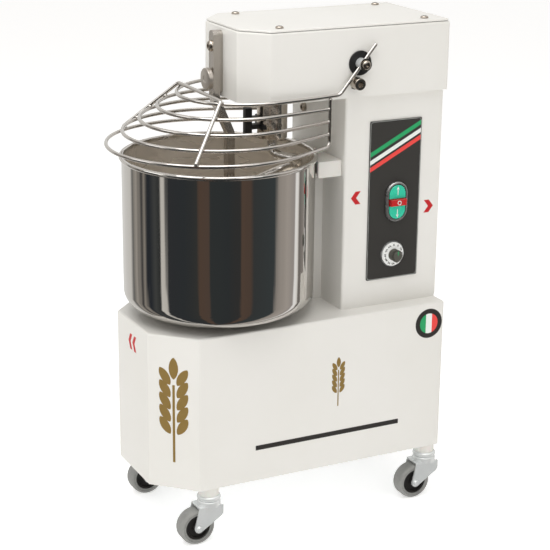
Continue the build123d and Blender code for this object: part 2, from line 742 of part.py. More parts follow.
def low_ring():
    """Bottom ring whose two ends turn up into the uprights at the back."""
    end, touch, nose, far_touch, far_end = ring_points(RINGS - 1, GUARD_BACK)
    top = ring_height(0, GUARD_BACK) - 2 * WIRE - 0.2
    side = FilletPolyline((end[0], end[1], top), end, touch, radius=9)
    far_side = mirror(side, about=Plane.YZ)
    front = ThreePointArc(touch, nose, far_touch)
    return tube(Wire(side.edges() + [front] + far_side.edges()), WIRE)


def top_frame():
    """Top ring whose tails run back beside the head and rise through the pivot bosses."""
    edges = ring_edges(0, GUARD_BACK - 20)
    start = Vector(*ring_points(0, GUARD_BACK - 20)[0])
    span = start.X
    route = [(span, *ARM_END), (span, *ARM_BEND), (start.X, start.Y, start.Z)]
    arm = FilletPolyline(*route, radius=12)
    other = mirror(arm, about=Plane.YZ)
    return tube(Wire(arm.edges() + edges + other.edges()), WIRE)


def spoke_point(number, degrees_round, out, up):
    """Point just outside a ring, where the bent spoke lies on it."""
    radius, front = RING_RADII[number], RING_FRONTS[number]
    angle = radians(degrees_round)
    x = (radius + out) * sin(angle)
    y = front + radius - (radius + out) * cos(angle)
    return (x, y, ring_height(number, y) + up)


def spoke():
    """One rod bent into a bridge: up one side of the cage, across its top and down the other."""
    low = spoke_point(RINGS - 1, 57.5, 3.5, 4.3)
    high = spoke_point(0, 45.0, 4.0, 5.1)
    route = [low, high, (-high[0], *high[1:]), (-low[0], *low[1:])]
    return tube(FilletPolyline(*route, radius=6), WIRE)


def arm_direction():
    rise = (ARM_END[0] - ARM_BEND[0], ARM_END[1] - ARM_BEND[1])
    length = hypot(*rise)
    return (rise[0] / length, rise[1] / length)


def stop_bolt_place():
    """The bolt stands just behind the lowered arm, so the arm rests on it."""
    along, up = arm_direction()
    aside = STOP_HEAD + WIRE + 0.35
    return (PIVOT_Y - 24 * along + aside * up, PIVOT_Z - 24 * up - aside * along)


STOP_HEAD = 8.0


def pivot_boss():
    """Stainless boss that turns in the head's wall and holds the arm in a cross hole."""
    boss = along_x(7.5, (66, HEAD_HALF_WIDTH + 15.5), PIVOT_Y, PIVOT_Z)
    along, up = arm_direction()
    centre = Vector(GUARD_HALF_SPAN, PIVOT_Y, PIVOT_Z)
    on_arm = Vector(GUARD_HALF_SPAN, *ARM_BEND)
    lead = Vector(0, along, up)
    nearest = on_arm + lead * (centre - on_arm).dot(lead)
    hole = Plane(nearest, z_dir=lead) * Cylinder(WIRE + RUNNING, 40)
    return boss - hole


def clamp_screw():
    """Washer and dome-headed screw on the boss's outer end."""
    washer = along_x(8.5, (HEAD_HALF_WIDTH + 15.5, HEAD_HALF_WIDTH + 17), PIVOT_Y, PIVOT_Z)
    dome = button_screw(6.2, 4.0, 3, 1.5)
    return washer + Pos(HEAD_HALF_WIDTH + 17, PIVOT_Y, PIVOT_Z) * Rot(0, 90, 0) * dome


def pivot_bush():
    """Black nylon bush with a wide flange outside the head."""
    flange = along_x(16.5, (HEAD_HALF_WIDTH, HEAD_HALF_WIDTH + 2.2), PIVOT_Y, PIVOT_Z)
    flange = fillet(flange.edges().group_by(Axis.X)[-1], 0.8)
    body = along_x(10, (HEAD_HALF_WIDTH - 8, HEAD_HALF_WIDTH), PIVOT_Y, PIVOT_Z)
    return flange + body - along_x(7.5 + RUNNING, (60, 100), PIVOT_Y, PIVOT_Z)


def stop_bolt():
    """Socket-head cap screw that the lowered guard arm rests against."""
    y, z = stop_bolt_place()
    x = HEAD_HALF_WIDTH
    washer = along_x(9.0, (x, x + 1.6), y, z) & along_x(30, (x, x + 1.6), y + 22.2, z - 18.5)
    head = along_x(STOP_HEAD, (x + 1.6, x + 16), y, z)
    head = fillet(head.edges().group_by(Axis.X)[-1], 1.0)
    shank = along_x(4, (x - 12, x + 2), y, z)
    socket = extrude(Plane.YZ * RegularPolygon(4.6, 6), 6, dir=(1, 0, 0))
    return washer + head + shank - Pos(x + 10.5, y, z) * socket


def guard_switch():
    """Safety switch inside the head, beside the pivot boss."""
    body = block((44, 64.5), (PIVOT_Y - 14, PIVOT_Y + 14), (PIVOT_Z - 26, PIVOT_Z + 10))
    return body


# ---- cable entry --------------------------------------------------------------------------------
def cable_gland():
    x, z = GLAND_AT
    rear = BASE_LENGTH
    body = along_y(8, x, (rear - 12, rear + 6), z)
    collar = Pos(x, rear, z) * Rot(-90, 0, 0) * extrude(RegularPolygon(12, 6), 6)
    dome = along_y(10.5, x, (rear + 6, rear + GLAND_REACH), z)
    dome = fillet(dome.edges().group_by(Axis.Y)[-1], 5)
    locknut = Pos(x, rear - 7, z) * Rot(-90, 0, 0) * extrude(RegularPolygon(12, 6), 5)
    bore = along_y(CORD_RADIUS, x, (rear - 20, rear + GLAND_REACH + 1), z)
    return body + collar + dome + locknut - bore


# ---- all parts ----------------------------------------------------------------------------------
os.makedirs("parts", exist_ok=True)

save("base_housing", base_housing())
save("base_plate", base_plate())
save("caster_sockets", *[caster_socket(x, y) for x, y in caster_places()])
save("caster_stems", *[caster_stem(x, y) for x, y in caster_places()])
for label, (x, y) in zip(("fl", "fr", "rl", "rr"), caster_places()):
    save(f"caster_fork_{label}", *caster_fork(x, y))
    save(f"caster_wheel_{label}", *caster_wheel(x, y))
save("cable_gland", cable_gland())

save("column_housing", column_housing())
save("column_rear_cover", rear_cover())
save("column_spine", column_spine())
save("bowl_guide_block", guide_block())

save("head_casing", head_casing())
save("head_cover", head_cover())
save("head_cover_gasket", head_gasket())
save("cover_screws", *cover_screws(), *rear_screws())

save("control_panel", control_panel())
save("switch_bezel", switch_bezel())
save("start_button", push_button(True))
save("run_back_button", push_button(False))
save("stop_button", stop_button())
save("timer_scale", timer_scale())
save("timer_knob", timer_knob())
save("timer_body", timer_body())

save("gear_motor", gear_motor())
save("motor_mount", motor_mount())
save("motor_pulley", motor_pulley())
save("drive_belt", drive_belt())
save("countershaft", countershaft())
save("countershaft_wheels", *countershaft_wheels())
lower_bearing = flange_bearing(DRIVE_Y, BASE_TOP - SHEET, 10, 20, False)
upper_bearing = flange_bearing(DRIVE_Y, HEAD_BOTTOM + SHEET, 10, 20, True)
bowl_bearing = flange_bearing(BOWL_Y, BASE_TOP - SHEET, 12.5, 30, False)
spiral_bearing = flange_bearing(SPIRAL_Y, HEAD_BOTTOM + SHEET, 10, 24, True)
save("shaft_bearings", lower_bearing, upper_bearing, bowl_bearing, spiral_bearing)
base_chain = chain(BOWL_TEETH, BOWL_Y, PINION_TEETH, DRIVE_Y, BASE_CHAIN_Z)
head_chain = chain(SPIRAL_TEETH, SPIRAL_Y, HEAD_DRIVER_TEETH, DRIVE_Y, HEAD_CHAIN_Z)
save("drive_chains", base_chain, head_chain)

save("bowl", bowl())
save("bowl_shaft", bowl_shaft())
save("bowl_sprocket", sprocket(BOWL_TEETH, BOWL_Y, BASE_CHAIN_Z, 12.5, 22))
save("bowl_seal", bowl_seal())

save("spiral_tool", spiral_tool())
save("spiral_shaft", spiral_shaft())
save("spiral_sprocket", sprocket(SPIRAL_TEETH, SPIRAL_Y, HEAD_CHAIN_Z, 10, 15))
save("spiral_sleeve", spiral_sleeve())
save("deflector_bracket", deflector_bracket())

save("breaker_bar", breaker_bar())
save("breaker_backplate", breaker_backplate())
save("clamp_knob", clamp_knob())
save("button_head_screws", *button_screws())

save("guard_top_frame", top_frame())
save("guard_middle_rings", *[middle_ring(number) for number in range(1, RINGS - 1)])
save("guard_low_ring", low_ring())
save("guard_spoke", spoke())
save("guard_pivot_bosses", *both_sides(pivot_boss()))
save("guard_clamp_screws", *both_sides(clamp_screw()))
save("guard_bushes", *both_sides(pivot_bush()))
save("guard_stop_bolts", *both_sides(stop_bolt()))
save("guard_switch", guard_switch())

print("origin moved by", MIDDLE_Y, "turn of the arm", round(degrees(atan2(*arm_direction())), 1))
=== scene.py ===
# %% [markdown]
# A small spiral dough mixer, finished for rendering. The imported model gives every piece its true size
# and place. This script adds what the eye looks for: powder coat, polished steel, printed film,
# nylon and rubber. Units are metres. Places are written in millimetres from the front face of the
# base (y), from the floor (z) and from the middle plane (x), because a maker would measure there.

# %% Load the frame
import json
import bpy
import bmesh
from math import acos, atan2, cos, hypot, pi, radians, sin, tan
from mathutils import Matrix, Vector


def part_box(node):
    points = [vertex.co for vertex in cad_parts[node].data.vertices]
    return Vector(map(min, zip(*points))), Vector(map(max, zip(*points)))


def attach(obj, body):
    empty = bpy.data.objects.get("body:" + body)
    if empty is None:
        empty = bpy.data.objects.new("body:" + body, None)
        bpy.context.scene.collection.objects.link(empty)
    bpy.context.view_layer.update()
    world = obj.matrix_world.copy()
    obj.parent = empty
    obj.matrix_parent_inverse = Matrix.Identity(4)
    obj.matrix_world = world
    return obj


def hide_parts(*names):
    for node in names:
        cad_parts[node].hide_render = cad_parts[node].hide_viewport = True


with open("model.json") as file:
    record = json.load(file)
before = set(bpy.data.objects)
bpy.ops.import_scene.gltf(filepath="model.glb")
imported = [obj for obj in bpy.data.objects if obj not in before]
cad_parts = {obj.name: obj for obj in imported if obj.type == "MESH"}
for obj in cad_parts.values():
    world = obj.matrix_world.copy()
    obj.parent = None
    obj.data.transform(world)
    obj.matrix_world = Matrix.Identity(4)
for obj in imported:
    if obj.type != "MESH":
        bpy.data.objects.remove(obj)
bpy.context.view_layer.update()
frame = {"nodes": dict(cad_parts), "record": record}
nodes = frame["nodes"]
MM = 0.001
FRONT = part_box("base_housing")[0].y
print("loaded", len(nodes), "nodes; the base's front face is at", round(FRONT, 4))


def at(x, y, z):
    """A point given in millimetres from the middle plane, the base's front face and the floor."""
    return Vector((x * MM, y * MM + FRONT, z * MM))


# %% [markdown]
# ## Materials
# Blender mixes light in linear colour, while a colour picker shows sRGB, so one function turns hex
# values into linear ones. A material starts from what the real stuff is. Even values go straight on
# the Principled shader's sockets, and only what varies over the surface gets nodes.

# %% Material helpers
def colour(hex_code):
    """sRGB hex to linear RGBA."""
    channels = [int(hex_code[i:i + 2], 16) / 255 for i in (0, 2, 4)]
    linear = [c / 12.92 if c <= 0.04045 else ((c + 0.055) / 1.055) ** 2.4 for c in channels]
    return (*linear, 1.0)


def add(tree, kind, settings=None, **inputs):
    """Adds a node with its settings; an input is a value or the socket that feeds it."""
    made = tree.nodes.new(kind)
    for name, value in (settings or {}).items():
        setattr(made, name, value)
    for name, value in inputs.items():
        socket = made.inputs[int(name[1:])] if name[1:].isdigit() else made.inputs[name.replace("_", " ")]
        if isinstance(value, bpy.types.NodeSocket):
            tree.links.new(value, socket)
        else:
            socket.default_value = value
    return made


def finish(name, hex_code, roughness, metallic=0.0, **sockets):
    """A new Principled material with even values on its own sockets."""
    material = bpy.data.materials.new(name)
    material.use_nodes = True
    shader = material.node_tree.nodes["Principled BSDF"]
    shader.inputs["Base Color"].default_value = colour(hex_code)
    shader.inputs["Roughness"].default_value = roughness
    shader.inputs["Metallic"].default_value = metallic
    for socket, value in sockets.items():
        shader.inputs[socket.replace("_", " ")].default_value = value
    return material


def place_of(tree, stretch=(1, 1, 1)):
    """Object coordinates, squeezed along an axis where the pattern runs long."""
    here = add(tree, "ShaderNodeTexCoord").outputs["Object"]
    return add(tree, "ShaderNodeMapping", Vector=here, Scale=stretch).outputs["Vector"]


def relief(material, grain_mm, height_mm, stretch=(1, 1, 1), detail=2.0):
    """Fine bumps: orange peel, brushing or moulding texture of a real grain size."""
    tree = material.node_tree
    where = place_of(tree, stretch)
    noise = add(tree, "ShaderNodeTexNoise", Vector=where, Scale=1 / (grain_mm * MM), Detail=detail)
    height = noise.outputs["Fac"]
    bump = add(tree, "ShaderNodeBump", Height=height, Distance=height_mm * MM, Strength=1.0)
    tree.links.new(bump.outputs["Normal"], tree.nodes["Principled BSDF"].inputs["Normal"])


def vary_roughness(material, patch_mm, low, high, stretch=(1, 1, 1)):
    """Duller and glossier patches, as from wiping, handling or polishing."""
    tree = material.node_tree
    where = place_of(tree, stretch)
    noise = add(tree, "ShaderNodeTexNoise", Vector=where, Scale=1 / (patch_mm * MM), Detail=3.0)
    span = add(tree, "ShaderNodeMapRange", Value=noise.outputs["Fac"], From_Min=0.3, From_Max=0.7,
               To_Min=low, To_Max=high)
    tree.links.new(span.outputs["Result"], tree.nodes["Principled BSDF"].inputs["Roughness"])


def vary_colour(material, patch_mm, first, second, stretch=(1, 1, 1)):
    """Two close shades in soft patches."""
    tree = material.node_tree
    where = place_of(tree, stretch)
    noise = add(tree, "ShaderNodeTexNoise", Vector=where, Scale=1 / (patch_mm * MM), Detail=4.0)
    ramp = add(tree, "ShaderNodeValToRGB", Fac=noise.outputs["Fac"])
    ramp.color_ramp.elements[0].position = 0.35
    ramp.color_ramp.elements[0].color = colour(first)
    ramp.color_ramp.elements[1].position = 0.65
    ramp.color_ramp.elements[1].color = colour(second)
    tree.links.new(ramp.outputs["Color"], tree.nodes["Principled BSDF"].inputs["Base Color"])


# %% [markdown]
# The housings are sheet steel with a baked powder coat. The powder melts into a gloss film with a
# faint orange peel, about 2 mm from crest to crest and a few microns high. That is too shallow to
# see as bumps, but it softens reflections, so it is drawn a little deeper than it is.

# %% Paint
powder_coat = finish("powder_coated_sheet_steel", "EAE8E3", 0.34, Coat_Weight=0.25, Coat_Roughness=0.18)
relief(powder_coat, 2.2, 0.012)
vary_colour(powder_coat, 160, "EBE9E4", "E8E6E0")
print("paint:", powder_coat.name)

# %% [markdown]
# Stainless steel shows its making. The bowl is spun and then polished on its outside, so it is a
# mirror with a trace of rings round it. Its inside is only satin. Bent wire is electropolished,
# and the flat bar is brushed along its length, which stretches the pattern in that direction.

# %% Steels
bowl_mirror = finish("mirror_polished_spun_stainless", "D8D5D1", 0.045, 1.0)
relief(bowl_mirror, 9.0, 0.006, (1, 1, 0.12))
vary_roughness(bowl_mirror, 60, 0.03, 0.075, (1, 1, 0.4))
bowl_satin = finish("satin_spun_stainless", "F0EAE1", 0.3, 0.72)
relief(bowl_satin, 1.6, 0.015, (0.06, 0.06, 1))
vary_roughness(bowl_satin, 40, 0.22, 0.34, (0.3, 0.3, 1))
polished_wire = finish("electropolished_stainless_wire", "CFCBC6", 0.13, 1.0)
vary_roughness(polished_wire, 25, 0.09, 0.19)
brushed_bar = finish("brushed_stainless_bar", "BDB7B0", 0.24, 1.0)
relief(brushed_bar, 0.8, 0.01, (1, 1, 0.03))
vary_roughness(brushed_bar, 30, 0.18, 0.32, (1, 1, 0.2))
turned_sleeve = finish("turned_stainless_tube", "CFC7BD", 0.14, 0.95)
relief(turned_sleeve, 0.9, 0.008, (0.05, 0.05, 1))
turned_knob = finish("faced_stainless_knob", "BDB6AE", 0.34, 0.85)
relief(turned_knob, 0.9, 0.012, (0.15, 1, 1))
zinc_plate = finish("bright_zinc_plated_steel", "F0F2F2", 0.22, 0.4)
vary_colour(zinc_plate, 22, "F2F4F4", "ECEFEE")
vary_roughness(zinc_plate, 18, 0.18, 0.26)
stainless_screw = finish("stainless_button_head_screw", "B9B0A5", 0.2, 1.0)
vary_roughness(stainless_screw, 3, 0.14, 0.28)
ground_steel = finish("ground_steel_shaft", "A9A9A8", 0.3, 1.0)
relief(ground_steel, 0.9, 0.008, (0.05, 0.05, 1))
cast_grey = finish("painted_grey_iron_casting", "5C5F62", 0.55)
relief(cast_grey, 1.8, 0.06)
print("steels:", [m.name for m in bpy.data.materials if m.name not in (powder_coat.name,)])

# %% [markdown]
# Plastics and rubber: nylon is cut from bar, so it is waxy and matt with a little light inside it.
# Moulded housings carry a fine spark-eroded grain. Lens-like push buttons are glossy. The caster
# tyre is grey non-marking rubber that scuffs where it rolls.

# %% Plastics, rubber and inks
nylon = finish("machined_natural_nylon", "E4E2DC", 0.48, Subsurface_Weight=0.12, Subsurface_Scale=0.002)
relief(nylon, 1.0, 0.015, (1, 1, 0.2))
black_plastic = finish("moulded_black_nylon", "1B1B1C", 0.45)
relief(black_plastic, 0.7, 0.02)
knob_plastic = finish("moulded_charcoal_abs", "55544C", 0.5)
relief(knob_plastic, 0.7, 0.02)
teal_button = finish("moulded_teal_polycarbonate", "34CDA8", 0.25, Coat_Weight=0.5, Coat_Roughness=0.1)
vary_roughness(teal_button, 12, 0.2, 0.32)
red_button = finish("moulded_red_polycarbonate", "C51F1F", 0.28, Coat_Weight=0.5, Coat_Roughness=0.1)
vary_roughness(red_button, 12, 0.22, 0.34)
silver_trim = finish("satin_metallised_plastic", "B9BAB9", 0.3, 0.85)
vary_roughness(silver_trim, 8, 0.22, 0.36)
dial_white = finish("white_dial_plastic", "F4F5F2", 0.42)
relief(dial_white, 0.8, 0.008)
panel_film = finish("printed_polyester_film", "3B3936", 0.42, Coat_Weight=0.15, Coat_Roughness=0.3)
relief(panel_film, 0.9, 0.01)
gasket_rubber = finish("black_sponge_rubber", "161616", 0.8)
relief(gasket_rubber, 0.6, 0.05)
tyre_rubber = finish("grey_nonmarking_rubber", "9A9A96", 0.62)
relief(tyre_rubber, 0.9, 0.03)
vary_colour(tyre_rubber, 14, "9C9C98", "8E8E8B")
hub_plastic = finish("moulded_dark_polypropylene", "2A2826", 0.45)
relief(hub_plastic, 0.9, 0.02)


def ink(name, hex_code):
    """Screen-printed ink or cut vinyl: nearly flat, with the faint texture of its film."""
    made = finish(name, hex_code, 0.4)
    vary_roughness(made, 5, 0.34, 0.48)
    return made


ink_green = ink("printed_green_ink", "23A765")
ink_white = ink("printed_white_ink", "ECEFEA")
ink_red = ink("printed_red_ink", "F0453F")
ink_black = ink("printed_black_ink", "1F1F1F")
vinyl_red = ink("cut_red_vinyl", "C9141B")
vinyl_dark = ink("cut_dark_vinyl", "35322F")
vinyl_gold = finish("metallic_gold_vinyl", "A88A4E", 0.34, 0.35)
vary_roughness(vinyl_gold, 6, 0.28, 0.42)
print("materials so far:", len(bpy.data.materials))


# %% [markdown]
# ## From CAD nodes to clean meshes
# A CAD node arrives as loose triangles. They hold the right shape but shade as facets. A copy has
# its doubles merged and is shaded smooth, with edges kept sharp where two faces meet steeply, so
# a small fillet reads as round and a folded sheet still reads as folded.

# %% Copy, merge and shade
def new_object(name, bm, material, body):
    """Turns a bmesh into an object that rides on a body."""
    mesh = bpy.data.meshes.new(name)
    bm.to_mesh(mesh)
    bm.free()
    made = bpy.data.objects.new(name, mesh)
    bpy.context.scene.collection.objects.link(made)
    for one in material if isinstance(material, (list, tuple)) else (material,):
        mesh.materials.append(one)
    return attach(made, body) or made


def shade(bm, crease=32):
    """Smooth faces, sharp edges where the surface turns by more than crease degrees."""
    for face in bm.faces:
        face.smooth = True
    for edge in bm.edges:
        edge.smooth = len(edge.link_faces) == 2 and edge.calc_face_angle(0) < radians(crease)


def body_of(node):
    for body, members in frame["record"]["behaviour"]["bodies"].items():
        if node in members:
            return body


def finished(node, material, crease=32):
    """A merged and smoothly shaded copy that stands for a CAD node."""
    bm = bmesh.new()
    bm.from_mesh(nodes[node].data)
    bmesh.ops.remove_doubles(bm, verts=bm.verts, dist=0.00001)
    shade(bm, crease)
    made = new_object(node + "_finished", bm, material, body_of(node))
    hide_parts(node)
    return made


coats = {
    powder_coat: ("base_housing", "column_housing", "column_rear_cover", "column_spine", "head_casing",
                  "head_cover"),
    nylon: ("bowl_guide_block", "caster_sockets"),
    zinc_plate: ("base_plate", "motor_mount", "guard_pivot_bosses"),
    stainless_screw: ("cover_screws", "button_head_screws", "guard_stop_bolts", "guard_clamp_screws"),
    black_plastic: ("guard_bushes", "deflector_bracket", "switch_bezel", "cable_gland", "guard_switch",
                    "timer_body"),
    brushed_bar: ("breaker_bar", "breaker_backplate"),
    turned_sleeve: ("spiral_sleeve",),
    ground_steel: ("spiral_shaft", "bowl_shaft", "countershaft", "drive_chains"),
    cast_grey: ("shaft_bearings", "gear_motor", "motor_pulley", "countershaft_wheels", "bowl_sprocket",
                "spiral_sprocket"),
    gasket_rubber: ("head_cover_gasket", "bowl_seal", "drive_belt"),
    panel_film: ("control_panel",),
    teal_button: ("start_button", "run_back_button"),
    red_button: ("stop_button",),
}
for coat, members in coats.items():
    for member in members:
        finished(member, coat)
for corner in ("fl", "fr", "rl", "rr"):
    finished("caster_fork_" + corner, zinc_plate)
print("smooth copies:", sum(len(m) for m in coats.values()) + 4)


# %% [markdown]
# ## Modelling helpers
# A turned piece is a half profile spun about its axis. A bent rod is a curve with a round section,
# because that is how it is made: straight wire, bent round a former. A decal is a flat outline
# with a tenth of a millimetre of thickness, laid on its face.

# %% Spin, wire and flat helpers
def turned(name, profile, origin, axis, material, body, steps=96, crease=32, paint=None):
    """Spins a half profile of (radius, height) in mm about an axis; radius 0 closes the piece."""
    bm = bmesh.new()
    points = [bm.verts.new((r * MM, 0, h * MM)) for r, h in profile]
    for a, b in zip(points, points[1:]):
        bm.edges.new((a, b))
    bmesh.ops.spin(bm, geom=bm.verts[:] + bm.edges[:], cent=(0, 0, 0), axis=(0, 0, 1), angle=2 * pi,
                   steps=steps, use_merge=True, use_duplicate=False)
    bmesh.ops.remove_doubles(bm, verts=bm.verts, dist=0.000005)
    bmesh.ops.recalc_face_normals(bm, faces=bm.faces)
    if paint:
        for face in bm.faces:
            face.material_index = paint(face)
    turn = Vector((0, 0, 1)).rotation_difference(Vector(axis)).to_matrix().to_4x4()
    bmesh.ops.transform(bm, matrix=Matrix.Translation(origin) @ turn, verts=bm.verts)
    shade(bm, crease)
    return new_object(name, bm, material, body)


def quarter(radius, height, size, start, steps=6):
    """Points of a rounded corner in a profile: centre, size and starting angle in degrees."""
    turn = [radians(start + 90 * i / steps) for i in range(steps + 1)]
    return [(radius + size * cos(a), height + size * sin(a)) for a in turn]


def wire(name, points, radius, material, body, closed=False):
    """Round rod of a radius in mm along points, as a mesh with closed ends."""
    curve = bpy.data.curves.new(name, "CURVE")
    curve.dimensions = "3D"
    curve.bevel_depth = radius * MM
    curve.bevel_resolution = 6
    curve.use_fill_caps = not closed
    spline = curve.splines.new("POLY")
    spline.points.add(len(points) - 1)
    for target, point in zip(spline.points, points):
        target.co = (*point, 1.0)
    spline.use_cyclic_u = closed
    source = bpy.data.objects.new(name + "_path", curve)
    bm = bmesh.new()
    bm.from_mesh(bpy.data.meshes.new_from_object(source))
    bpy.data.objects.remove(source)
    bmesh.ops.remove_doubles(bm, verts=bm.verts, dist=0.000005)
    bmesh.ops.recalc_face_normals(bm, faces=bm.faces)
    shade(bm, 50)
    return new_object(name, bm, material, body)


def rounded(points, radius, steps=10):
    """Replaces each inner corner of a route with an arc; one radius in metres, or one per corner."""
    radii = radius if isinstance(radius, list) else [radius] * (len(points) - 2)
    route = [points[0]]
    for before, corner, after, size in zip(points, points[1:], points[2:], radii):
        back = (before - corner).normalized()
        ahead = (after - corner).normalized()
        half = back.angle(ahead) / 2
        centre = corner + (back + ahead).normalized() * size / sin(half)
        first = corner + back * size / tan(half) - centre
        last = corner + ahead * size / tan(half) - centre
        for step in range(steps + 1):
            route.append(centre + first.slerp(last, step / steps, first).normalized() * size)
    return route + [points[-1]]


def flat(name, outline, origin, across, up, material, body, thick=0.12):
    """Thin cut-out of an outline in mm, laid on a face that has the given axes."""
    bm = bmesh.new()
    face = bm.faces.new([bm.verts.new((u * MM, v * MM, 0)) for u, v in outline])
    across, up = Vector(across), Vector(up)
    outward = across.cross(up)
    lifted = bmesh.ops.extrude_face_region(bm, geom=[face])["geom"]
    top = [v for v in lifted if isinstance(v, bmesh.types.BMVert)]
    bmesh.ops.translate(bm, vec=(0, 0, thick * MM), verts=top)
    basis = Matrix((across, up, outward)).transposed().to_4x4()
    bmesh.ops.transform(bm, matrix=Matrix.Translation(origin) @ basis, verts=bm.verts)
    bmesh.ops.recalc_face_normals(bm, faces=bm.faces)
    bmesh.ops.triangulate(bm, faces=bm.faces)
    return new_object(name, bm, material, body)


def circle(radius, steps=48, centre=(0, 0)):
    turn = [2 * pi * i / steps for i in range(steps)]
    return [(centre[0] + radius * cos(a), centre[1] + radius * sin(a)) for a in turn]


print("helpers ready")

# %% [markdown]
# ## The bowl
# A disc of stainless sheet is spun over a former, which rounds the bottom corner, and its edge is
# rolled over a wire into a bead. One closed profile, spun once, gives both walls. Faces that look
# towards the axis or up from the bottom get the satin finish; the rest is mirror polished.

# %% Bowl
low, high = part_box("bowl")
bowl_top = high.z / MM
bowl_bottom = low.z / MM
bowl_axis = (low.y + high.y) / 2
bead = 3.0
rim = (high.x - low.x) / 2 / MM - bead
outer = rim - 0.6
wall = 1.5
corner = 24.0
bead_z = bowl_top - bead
profile = [(0, bowl_bottom)]
profile += quarter(outer - corner, bowl_bottom + corner, corner, -90, 10)
profile += [(outer, bowl_bottom + 60), (outer, bead_z - 40), (outer, bead_z - 2.6)]
turn = [radians(-95 + 245 * i / 14) for i in range(15)]
profile += [(rim + bead * cos(a), bead_z + bead * sin(a)) for a in turn]
profile += [(outer - wall, bead_z - 3), (outer - wall, bead_z - 60), (outer - wall, bowl_bottom + 60)]
inside = quarter(outer - corner, bowl_bottom + corner, corner - wall, -90, 10)
profile += inside[::-1]
profile += [(0, bowl_bottom + wall)]


def bowl_side(face):
    middle = face.calc_center_median()
    inward = face.normal.x * middle.x + face.normal.y * middle.y < -0.00001
    above_floor = face.normal.z > 0.5 and middle.z < (bowl_bottom + 40) * MM
    return 1 if (inward and middle.z < (bead_z - 1) * MM) or above_floor else 0


bowl = turned("bowl_spun", profile, Vector((0, bowl_axis, 0)), (0, 0, 1), (bowl_mirror, bowl_satin), "bowl",
              160, 40, bowl_side)
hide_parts("bowl")
print("bowl across the bead", round(2 * (rim + bead), 1), "mm")

# %% [markdown]
# ## The wire guard
# Five hoops of 5 mm wire grow and drop towards the front. Each is an arc with a straight tail on
# either side. The lowest hoop turns up at the back into the two uprights, the other tails are
# welded to these, and the top hoop carries on beside the head and up through the pivots.

# %% Guard
WIRE = 2.5
SPAN = 91.0
BACK = 247.0
HOOP_RADII = (92.0, 100.5, 116.0, 128.0, 140.5)
HOOP_FRONTS = (76.0, 48.5, 24.0, 0.5, -22.0)
HOOPS = len(HOOP_RADII)
TOP_HOOP_Z = (597.5, 601.0)
LOW_HOOP_Z = (533.8, 534.5)
ARM_BEND = (261.5, 602.4)
ARM_END = (313.0, 665.1)


def hoop_height(number, y):
    """Height of a hoop at a given y; it lies in a plane that rises a little to the back."""
    share = number / (HOOPS - 1)
    front_z, back_z = [high + (low - high) * share for high, low in zip(TOP_HOOP_Z, LOW_HOOP_Z)]
    along = (y - HOOP_FRONTS[number]) / (BACK - HOOP_FRONTS[number])
    return front_z + (back_z - front_z) * along


def hoop(number, back):
    """Points along one hoop, from its right tail round the front to its left tail."""
    radius = HOOP_RADII[number]
    centre = HOOP_FRONTS[number] + radius
    reach = hypot(SPAN, back - centre)
    start = atan2(back - centre, SPAN) - acos(min(1.0, radius / reach))
    sweep = pi + 2 * start
    turn = [start - sweep * i / 72 for i in range(73)]
    plan = [(SPAN, back)] + [(radius * cos(a), centre + radius * sin(a)) for a in turn] + [(-SPAN, back)]
    return [at(x, y, hoop_height(number, y)) for x, y in plan]


for number in range(1, HOOPS - 1):
    made = wire(f"guard_hoop_{number + 1}", hoop(number, BACK - WIRE), WIRE, polished_wire, "guard")
    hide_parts("guard_middle_rings")

low_hoop = hoop(HOOPS - 1, BACK)
top_of_upright = hoop(0, BACK)[0].z - 2 * WIRE * MM
low_route = [Vector((SPAN * MM, low_hoop[0].y, top_of_upright))] + low_hoop
low_route += [Vector((-SPAN * MM, low_hoop[0].y, top_of_upright))]
bend_radius = 0.009
right_bend = rounded(low_route[:3], bend_radius)
left_bend = [Vector((-p.x, p.y, p.z)) for p in right_bend][::-1]
made = wire("guard_low_hoop", right_bend[:-1] + low_route[2:-2] + left_bend[1:], WIRE, polished_wire, "guard")
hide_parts("guard_low_ring")

top_hoop = hoop(0, BACK - 20)
arm = [at(SPAN, *ARM_END), at(SPAN, *ARM_BEND), top_hoop[0]]
arm = rounded(arm, 0.012, 12)
other_arm = [Vector((-p.x, p.y, p.z)) for p in arm][::-1]
made = wire("guard_top_hoop", arm[:-1] + top_hoop + other_arm[1:], WIRE, polished_wire, "guard")
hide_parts("guard_top_frame")


def spoke_point(number, degrees_round, out, up):
    radius = HOOP_RADII[number]
    a = radians(degrees_round)
    y = HOOP_FRONTS[number] + radius - (radius + out) * cos(a)
    return at((radius + out) * sin(a), y, hoop_height(number, y) + up)


foot = spoke_point(HOOPS - 1, 57.5, 3.5, 4.3)
shoulder = spoke_point(0, 45.0, 4.0, 5.1)
bridge = [foot, shoulder, Vector((-shoulder.x, shoulder.y, shoulder.z)), Vector((-foot.x, foot.y, foot.z))]
made = wire("guard_bridge_rod", rounded(bridge, 0.006), WIRE, polished_wire, "guard")
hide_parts("guard_spoke")
print("guard wires:", HOOPS + 1)

# %% [markdown]
# Where two wires touch, a small bead of weld joins them. Each bead is a squashed ball, and the
# wire's cut ends get a half ball, because they are ground round so that nobody is scratched.

# %% Weld beads and wire ends
def bead_at(bm, centre, size):
    scale = Matrix.Diagonal((size[0] * MM, size[1] * MM, size[2] * MM, 1))
    bmesh.ops.create_icosphere(bm, subdivisions=2, radius=1.0, matrix=Matrix.Translation(centre) @ scale)


